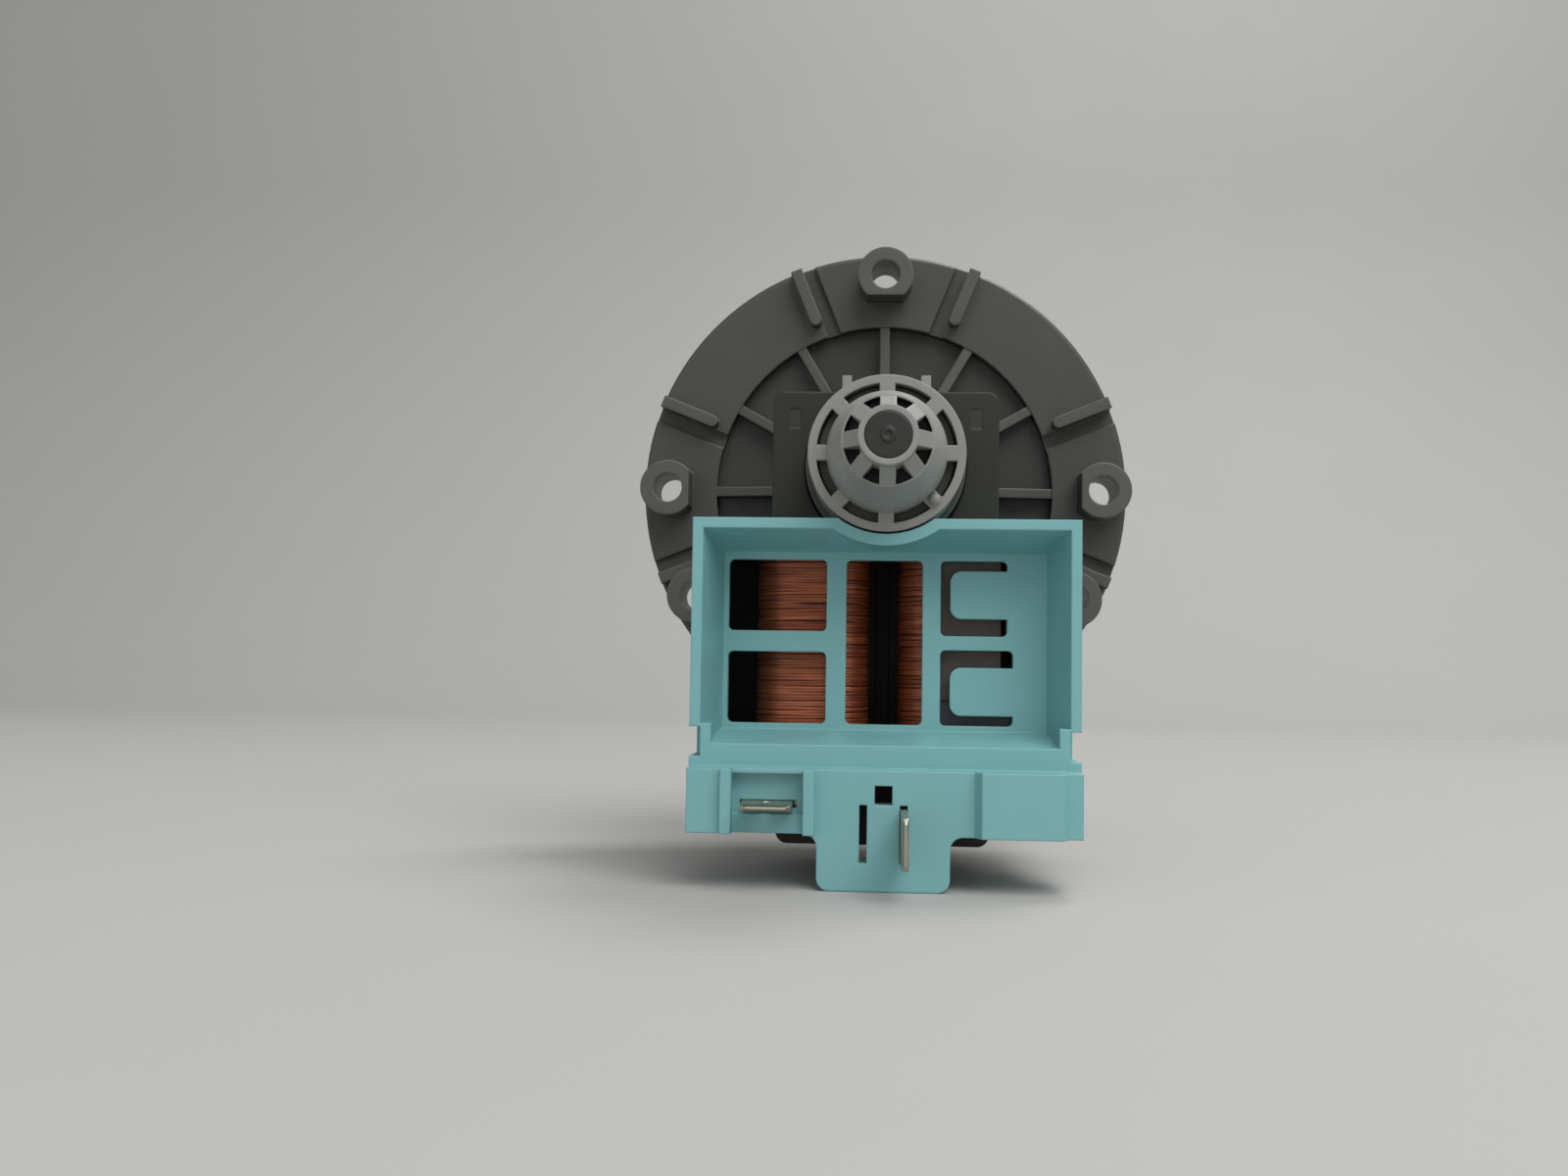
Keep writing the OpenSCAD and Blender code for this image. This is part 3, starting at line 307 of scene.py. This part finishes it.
@dataclass(frozen=True)
class PaintedDepthMoulding(Finish):
    """Moulded plastic toned along Y. Proud faces are paler, part wear and part painted highlight. The recess
    is darker as painted shade, and the tube's tip is darker.

    Attributes:
        levels: Places along Y in millimetres, in rising order, each with the share of the colour there:
        the tube's tip, the tube, the eyelets' tops, the bars, the flange, the recess and its front.
        Shares above one paint proud faces paler, part wear and part painted highlight; the low share in the
        recess is painted shade; the low shares at the tip make it darker.
    """

    levels: tuple[tuple[float, float], ...] = (
        (-62, 0.26), (-54, 0.3), (-50, 1.0), (-12, 1.0), (-9, 1.5),
        (-6.3, 1.3), (-3.8, 1.0), (-2.8, 0.9), (-1.4, 0.58), (0, 1.0))

    def pattern(self, tree: Tree, place: Socket) -> tuple[Socket, Socket]:
        """Change the patches' tone from level to level.

        Args:
            tree: Node tree of the material.
            place: Coordinates of the surface.

        Returns:
            Colour and height of the surface.
        """
        colour, grain = super().pattern(tree, place)
        low, high = self.levels[0][0], self.levels[-1][0]
        along = add(tree, "ShaderNodeSeparateXYZ", {}, {0: place}).outputs["Y"]
        way = add(tree, "ShaderNodeMapRange", {"From Min": low * MM, "From Max": high * MM}, {"Value": along})
        ramp = add(tree, "ShaderNodeValToRGB", {}, {0: way.outputs[0]})
        stops = ramp.color_ramp.elements
        for level, _ in self.levels[1:-1]:
            stops.new((level - low) / (high - low))
        for stop, (_, share) in zip(stops, self.levels):
            stop.color = (*[share / RAMP_TOP] * 3, 1.0)
        # Painted shade and highlight by depth: the recess darker, proud faces paler, the tube's tip darker.
        tone = add(tree, "ShaderNodeMath", {"operation": "MULTIPLY", 1: RAMP_TOP}, {0: ramp.outputs[0]})
        painted_shade_and_highlight = add(tree, "ShaderNodeVectorMath", {"operation": "SCALE"},
                    {0: colour, "Scale": tone.outputs[0]})
        return painted_shade_and_highlight.outputs[0], grain


# Glass-filled polypropylene, moulded: dark, dull, with soft grey clouds. Edges and proud faces are painted
# paler, part wear and part painted highlight. The recess gets painted shade, and the tube's tip is darker.
HOUSING = PaintedDepthMoulding("moulded_polypropylene_dark_grey", "#464541", "#393834", grain_depth_mm=0.04,
                         roughness=(0.42, 0.56), edge_mm=0.45, edge_wear_and_highlight=0.9)
# Polyacetal, moulded: lighter grey with a soft sheen on its spokes.
CAGE = Finish("moulded_acetal_light_grey", "#90908C", "#83837F", patch_mm=6, grain_depth_mm=0.02,
              roughness=(0.34, 0.46), edge_wear_and_highlight=0.3)
# Polybutylene terephthalate, moulded: pale blue-green, even and matt.
COVER = Finish("moulded_polyester_pale_blue", "#7AB1B3", "#72A7A9", patch_mm=18, grain_depth_mm=0.02,
               roughness=(0.38, 0.5))
# Nylon, moulded in black: dull enough to vanish in the shade of the cover.
BOBBIN = Finish("moulded_nylon_black", "#3C3D41", "#303135", roughness=(0.5, 0.65))
# Electrical steel with a dark olive varnish; its edges are painted paler, part wear and part painted
# highlight.
SHEETS = SheetStack("varnished_steel_sheets", "#35362C", "#2B2C24", patch_mm=8, grain_mm=0.3,
                    grain_depth_mm=0.03, roughness=(0.42, 0.58), metallic=0.25, edge_mm=0.45, edge_wear_and_highlight=1.0)
# Electrical steel where the varnish is thin.
YOKE = SheetStack("bare_steel_sheets", "#4E4947", "#3E3A38", patch_mm=8, grain_mm=0.3, grain_depth_mm=0.03,
                  roughness=(0.42, 0.58), metallic=0.35)
# Varnished cloth tape: brown, with a coarse dull surface.
TAPE = Finish("varnished_cloth_tape", "#544A41", "#3E3630", patch_mm=4, grain_mm=0.35, grain_depth_mm=0.06,
              roughness=(0.45, 0.6))
# Enamelled copper: red-brown metal under a clear glossy coat.
WIRE = WoundWire("enamelled_copper_wire", "#B7643F", "#602D1E", grain_mm=0.2, grain_depth_mm=0.005,
                 roughness=(0.3, 0.42), metallic=0.55, coat=0.3)
# Brass with a bright tin plating that has dulled a little.
TIN = Finish("tinned_brass", "#C0BCAD", "#A29E8E", patch_mm=3, grain_mm=0.15, grain_depth_mm=0.01,
             roughness=(0.28, 0.42), metallic=1.0)
# Nitrile rubber: black with a faint bloom.
RUBBER = Finish("nitrile_rubber_black", "#222223", "#171718", patch_mm=5, grain_depth_mm=0.02,
                roughness=(0.5, 0.68))
# Sintered bronze: dull gold with open pores.
BRONZE = Finish("sintered_bronze", "#A57C44", "#7E5B30", patch_mm=2, grain_mm=0.2, grain_depth_mm=0.04,
                roughness=(0.4, 0.55), metallic=1.0)
# Pressed ferrite: charcoal ceramic.
FERRITE = Finish("pressed_ferrite", "#37373A", "#2B2B2E", patch_mm=5, grain_mm=0.3, roughness=(0.4, 0.55))
# Stainless steel, ground: bright, with a fine even sheen.
SHAFT = Finish("ground_stainless_steel", "#C4C5C6", "#ABACAE", patch_mm=2, grain_mm=0.1, grain_depth_mm=0.004,
               roughness=(0.2, 0.3), metallic=1.0)
# Glass-filled polypropylene for hot water: off-white and matt.
VANES = Finish("moulded_polypropylene_off_white", "#D9D8D0", "#CBCABF", roughness=(0.4, 0.52))
# Paper on a roll: pale, plain and dull.
PAPER = Finish("pale_paper", "#ACABA8", "#A7A6A3", patch_mm=260, grain_mm=2.5, grain_depth_mm=0.02,
               roughness=(0.7, 0.8))


def mesh_object(name: str, points: np.ndarray, faces: np.ndarray) -> bpy.types.Object:
    """Put computed points and faces into a smooth mesh object at the origin.

    Args:
        name: Name of the piece.
        points: Points in millimetres, one row each.
        faces: Corner numbers, one row for each face.

    Returns:
        The new object, linked to the scene.
    """
    mesh = bpy.data.meshes.new(name)
    mesh.from_pydata((points * MM).tolist(), [], faces.tolist())
    mesh.polygons.foreach_set("use_smooth", np.ones(len(mesh.polygons), bool))
    mesh.update()
    piece = bpy.data.objects.new(name, mesh)
    bpy.context.scene.collection.objects.link(piece)
    return piece


def grid_faces(rows: int, columns: int, closed: bool) -> np.ndarray:
    """Number the quads of a grid of points, row by row.

    Args:
        rows: Rows of points.
        columns: Points in a row.
        closed: Whether the last column joins the first.

    Returns:
        Four corner numbers for each quad.
    """
    last = columns if closed else columns - 1
    row, column = np.meshgrid(np.arange(rows - 1), np.arange(last), indexing="ij")
    beside = (column + 1) % columns
    low, high = row * columns, (row + 1) * columns
    return np.stack([low + column, low + beside, high + beside, high + column], -1).reshape(-1, 4)


def wear(piece: bpy.types.Object, material: bpy.types.Material) -> None:
    """Give a piece one material."""
    piece.data.materials.clear()
    piece.data.materials.append(material)


@dataclass
class Winding:
    """Outer layer of a coil: fine wire wound round a rounded rectangle.

    Attributes:
        side: Coil that it belongs to.
        corner: Radius of the wire's path at the corners.
        wire: Thickness of the wire, drawn thicker than the real 0.2 so that single turns show.
        pitch: Rise of the wire on each turn.
        room: Gap to the CAD node's box in which turns may stray outwards.
        stray_out: Usual stray of a turn outwards or inwards.
        most_out: Most that a turn strays so.
        stray_up: Usual stray of a turn up or down.
        most_up: Most that a turn strays so.
        tuck: Depth at which the wire's two ends lie under the layer.
        tuck_pace: Pace at which an end comes up, in depths for each turn.
        look: Way along the outline, before and after a point, that gives its direction.
        corner_step: Degrees from point to point of a corner.
        stations: Points on each turn.
        sides: Faces round the wire.
        seed: Start of the random numbers, changed by the side's sign.
    """

    side: Side
    corner: float = 4.6
    wire: float = 0.46
    pitch: float = 0.4
    room: float = 0.08
    stray_out: float = 0.035
    most_out: float = 0.07
    stray_up: float = 0.04
    most_up: float = 0.09
    tuck: float = 0.5
    tuck_pace: float = 6.0
    look: float = 0.4
    corner_step: int = 6
    stations: int = 48
    sides: int = 6
    seed: int = 11

    def outline(self, share: np.ndarray, half_x: float, half_y: float) -> tuple[np.ndarray, np.ndarray]:
        """Walk round a rectangle with round corners at an even pace.

        Four quarter circles are joined by straight runs, and the way along them is found by length.

        Args:
            share: Ways round the outline, one for each full turn.
            half_x: Half width of the outline.
            half_y: Half depth of the outline.

        Returns:
            Points from the middle, and the outward direction at each one.
        """
        angle = np.radians(np.arange(0, 361, self.corner_step))
        quarter = np.minimum(angle // (math.pi / 2), 3).astype(int)
        arcs = []
        for number, (sign_x, sign_y) in enumerate(((1, 1), (-1, 1), (-1, -1), (1, -1))):
            turn = angle[(quarter == number) | (angle == number * math.pi / 2)]
            arcs.append(np.stack([sign_x * (half_x - self.corner) + self.corner * np.cos(turn),
                                  sign_y * (half_y - self.corner) + self.corner * np.sin(turn)], 1))
        knots = np.vstack([*arcs, arcs[0][:1]])
        length = np.concatenate([[0], np.cumsum(np.linalg.norm(np.diff(knots, axis=0), axis=1))])
        along = (share % 1) * length[-1]
        behind, point, ahead = (
            np.stack([np.interp((along + step) % length[-1], length, knots[:, k]) for k in (0, 1)], 1)
            for step in (-self.look, 0, self.look))
        way = (ahead - behind) / np.linalg.norm(ahead - behind, axis=1, keepdims=True)
        return point, np.stack([way[:, 1], -way[:, 0]], 1)

    def build(self) -> bpy.types.Object:
        """Carry a small circle along a path that climbs one pitch on each turn.

        Each turn strays from the path by a sum of three sine waves of its own.

        Returns:
            The wound wire, in the place of the CAD node.
        """
        node = f"{self.side.name.lower()}_winding"
        low, high = (np.array(corner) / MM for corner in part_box(node))
        middle, half = (low + high) / 2, (high - low) / 2 - self.wire / 2
        climb = high[2] - low[2] - self.wire
        loops = int(climb / self.pitch)
        share = np.arange(loops * self.stations + 1) / self.stations
        point, outward = self.outline(share, half[0] - self.room, half[1] - self.room)
        rng = np.random.default_rng(self.seed + self.side.value)
        stray = rng.normal(size=(loops + 2, 4))
        turn = share.astype(int)
        swing = sum(stray[turn, k] * np.sin(2 * math.pi * (k + 1) * share + 3 * stray[turn, (k + 1) % 4])
                    for k in range(3))
        level = np.clip(np.minimum(share, share[-1] - share) * self.tuck_pace, 0, 1)
        off = np.clip(self.stray_out * swing, -self.most_out, self.most_out) - self.tuck * (1 - level)
        late = np.roll(swing, self.stations // 3)
        rise = low[2] + self.wire / 2 + climb * share / share[-1]
        rise = rise + np.clip(self.stray_up * late, -self.most_up, self.most_up) * level
        ring = 2 * math.pi * np.arange(self.sides) / self.sides
        reach = off[:, None] + self.wire / 2 * np.cos(ring)
        points = np.empty((len(share), self.sides, 3))
        points[..., :2] = middle[:2] + point[:, None] + outward[:, None] * reach[..., None]
        points[..., 2] = rise[:, None] + self.wire / 2 * np.sin(ring)
        faces = grid_faces(len(share), self.sides, closed=True)
        piece = mesh_object(f"{self.side.name.lower()}_coil_wire", points.reshape(-1, 3), faces)
        self.map_wire(piece, share)
        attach(piece, "motor")
        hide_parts(node)
        return piece

    def map_wire(self, piece: bpy.types.Object, share: np.ndarray) -> None:
        """Store the turn as U and the way round it as V.

        Args:
            piece: The wound wire.
            share: Turns made at each station.
        """
        corner = np.empty(len(piece.data.loops), np.int32)
        piece.data.loops.foreach_get("vertex_index", corner)
        turns = share[corner // self.sides]
        chart = piece.data.uv_layers.new(name="wire")
        chart.data.foreach_set("uv", np.stack([turns, turns % 1], 1).astype(np.float32).ravel())


@dataclass(frozen=True)
class Sweep:
    """Pale paper that lies as a floor and curves up into a wall behind the object.

    Attributes:
        sink: Depth of the floor below the object's lowest point, so that no two faces share a plane.
        bend: Radius of the curve.
        back: Place of the wall on Y.
        front: Place of the floor's front edge on Y.
        top: Height of the wall.
        reach: Reach of the paper to either side.
        bend_points: Points on the curve.
        columns: Points from side to side.
    """

    sink: float = 0.05
    bend: float = 420.0
    back: float = 900.0
    front: float = -5000.0
    top: float = 4000.0
    reach: float = 5000.0
    bend_points: int = 25
    columns: int = 9

    def build(self) -> None:
        """Carry a profile of a straight run, a quarter circle and a straight rise along X."""
        floor = CAD_BOX[0][2] / MM - self.sink
        angle = np.radians(np.linspace(-90, 0, self.bend_points))
        along = np.concatenate([[self.front], self.back - self.bend + self.bend * np.cos(angle), [self.back]])
        height = np.concatenate([[floor], floor + self.bend + self.bend * np.sin(angle), [floor + self.top]])
        across = np.linspace(-self.reach, self.reach, self.columns)
        points = np.empty((len(along), len(across), 3))
        points[..., 0], points[..., 1], points[..., 2] = across, along[:, None], height[:, None]
        faces = grid_faces(len(along), len(across), closed=False)
        sweep = mesh_object("paper_sweep", points.reshape(-1, 3), faces)
        wear(sweep, PAPER.make())


@dataclass(frozen=True)
class Lamp:
    """A square soft lamp.

    Attributes:
        name: Name of the lamp.
        place: Middle of the lamp in millimetres.
        size: Side of the square in millimetres.
        watts: Power of the lamp.
        aim: Point that it faces in millimetres.
    """

    name: str
    place: Point
    size: float
    watts: float
    aim: Point = (0, -30, -20)

    def hang(self) -> None:
        """Put the lamp in its place, turned to its aim."""
        data = bpy.data.lights.new(self.name, "AREA")
        data.size = self.size * MM
        data.energy = self.watts
        lamp = bpy.data.objects.new(self.name, data)
        start, end = np.array(self.place) * MM, np.array(self.aim) * MM
        back = (start - end) / np.linalg.norm(start - end)
        side = np.cross([0.0, 0.0, 1.0], back)
        side /= np.linalg.norm(side)
        turned = np.stack([side, np.cross(back, side), back], 1)
        lamp.matrix_world = Matrix.Translation(start) @ Matrix(turned.tolist()).to_4x4()
        bpy.context.scene.collection.objects.link(lamp)


LAMPS = (
    Lamp("key", (420, -640, 960), 1000, 13.0),
    Lamp("fill", (-520, -1090, 100), 1000, 1.3),
    Lamp("window", (380, 400, 1050), 420, 6.0),
)


@dataclass
class Stage:
    """Camera, sweep, lamps and the light of the room.

    Attributes:
        eye: Camera's place in millimetres.
        lens_px: Focal length in pixels of the picture.
        vanish: Pixel to which lines along +Y run.
        roll: Turn of the object in the picture, clockwise in degrees.
        picture: Width and height of the picture in pixels.
        sensor: Width of the camera's sensor in millimetres.
        clip: Nearest and farthest sight of the camera in metres.
        room: Colour of the room's light.
        room_strength: Strength of the room's light.
    """

    eye: Point = (-2.14, -226.78, -27.32)
    lens_px: float = 1440.1
    vanish: tuple[float, float] = (885.5, 678.7)
    roll: float = 0.64
    picture: tuple[int, int] = (1600, 1200)
    sensor: float = 36.0
    clip: tuple[float, float] = (0.01, 20.0)
    room: str = "#F4F5F7"
    room_strength: float = 0.52

    def camera(self) -> None:
        """Aim the camera so that lines along +Y meet at the vanishing pixel."""
        right, up = self.vanish[0] - self.picture[0] / 2, self.picture[1] / 2 - self.vanish[1]
        axis_y = np.array([right, up, self.lens_px])
        axis_y /= np.linalg.norm(axis_y)
        turn = math.radians(self.roll)
        axis_z = np.array([math.sin(turn), math.cos(turn), 0.0])
        axis_z -= axis_y * (axis_z @ axis_y)
        axis_z /= np.linalg.norm(axis_z)
        axis_x = np.cross(axis_z, axis_y)
        rows = np.stack([axis_x, axis_y, axis_z], 1)
        turned = np.stack([rows[0], rows[1], -rows[2]], 1)
        data = bpy.data.cameras.new("camera")
        data.sensor_width = self.sensor
        data.lens = self.lens_px * self.sensor / self.picture[0]
        data.clip_start, data.clip_end = self.clip
        camera = bpy.data.objects.new("camera", data)
        place = Matrix.Translation([v * MM for v in self.eye])
        camera.matrix_world = place @ Matrix(turned.tolist()).to_4x4()
        bpy.context.scene.collection.objects.link(camera)
        bpy.context.scene.camera = camera

    def world(self) -> None:
        """Fill the room with even pale light."""
        world = bpy.data.worlds.new("room")
        world.use_nodes = True
        sky = world.node_tree.nodes["Background"]
        sky.inputs["Color"].default_value = linear(self.room)
        sky.inputs["Strength"].default_value = self.room_strength
        bpy.context.scene.world = world

    def build(self) -> None:
        """Set up camera, sweep, lamps and world."""
        self.camera()
        Sweep().build()
        for lamp in LAMPS:
            lamp.hang()
        self.world()
        bpy.context.scene.view_settings.view_transform = "Standard"


@dataclass(frozen=True)
class Carried:
    """CAD nodes that keep their own shape and share a finish.

    Attributes:
        finish: Finish that they get.
        nodes: Names of the nodes.
    """

    finish: Finish
    nodes: tuple[str, ...]


CARRIED = (
    Carried(HOUSING, ("motor_housing", "front_bearing_holder")),
    Carried(SHEETS, ("left_pole", "right_pole")),
    Carried(YOKE, ("stator_yoke",)),
    Carried(TAPE, ("coil_tape",)),
    Carried(COVER, ("coil_cover",)),
    Carried(BOBBIN, ("left_bobbin", "right_bobbin", "thermal_cutout", "rotor_sleeve")),
    Carried(WIRE, ("left_coil", "right_coil", "coil_link_wire")),
    Carried(TIN, ("side_terminal", "centre_terminal")),
    Carried(RUBBER, ("flange_seal", "rear_bearing_cup", "holder_seal", "shaft_seal", "drive_damper")),
    Carried(BRONZE, ("rear_bearing", "front_bearing", "rear_thrust_washer", "front_thrust_washer")),
    Carried(FERRITE, ("rotor_magnet",)),
    Carried(SHAFT, ("rotor_shaft",)),
    Carried(CAGE, ("stator_retainer", "drive_dog")),
    Carried(VANES, ("impeller", "impeller_cap")),
)


def dress_carried() -> None:
    """Give each CAD node that stays in view its finish."""
    for group in CARRIED:
        material = group.finish.make()
        for node in group.nodes:
            wear(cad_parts[node], material)
            LOG.info("dressed %s", node)


def main() -> None:
    """Build the pump's looks piece by piece."""
    logging.basicConfig(level=logging.INFO, format="%(message)s")
    Stage().build()
    dress_carried()
    wire = WIRE.make()
    for side in Side:
        piece = Winding(side).build()
        wear(piece, wire)
        LOG.info("wound %s", piece.name)


if __name__ == "__main__":
    main()
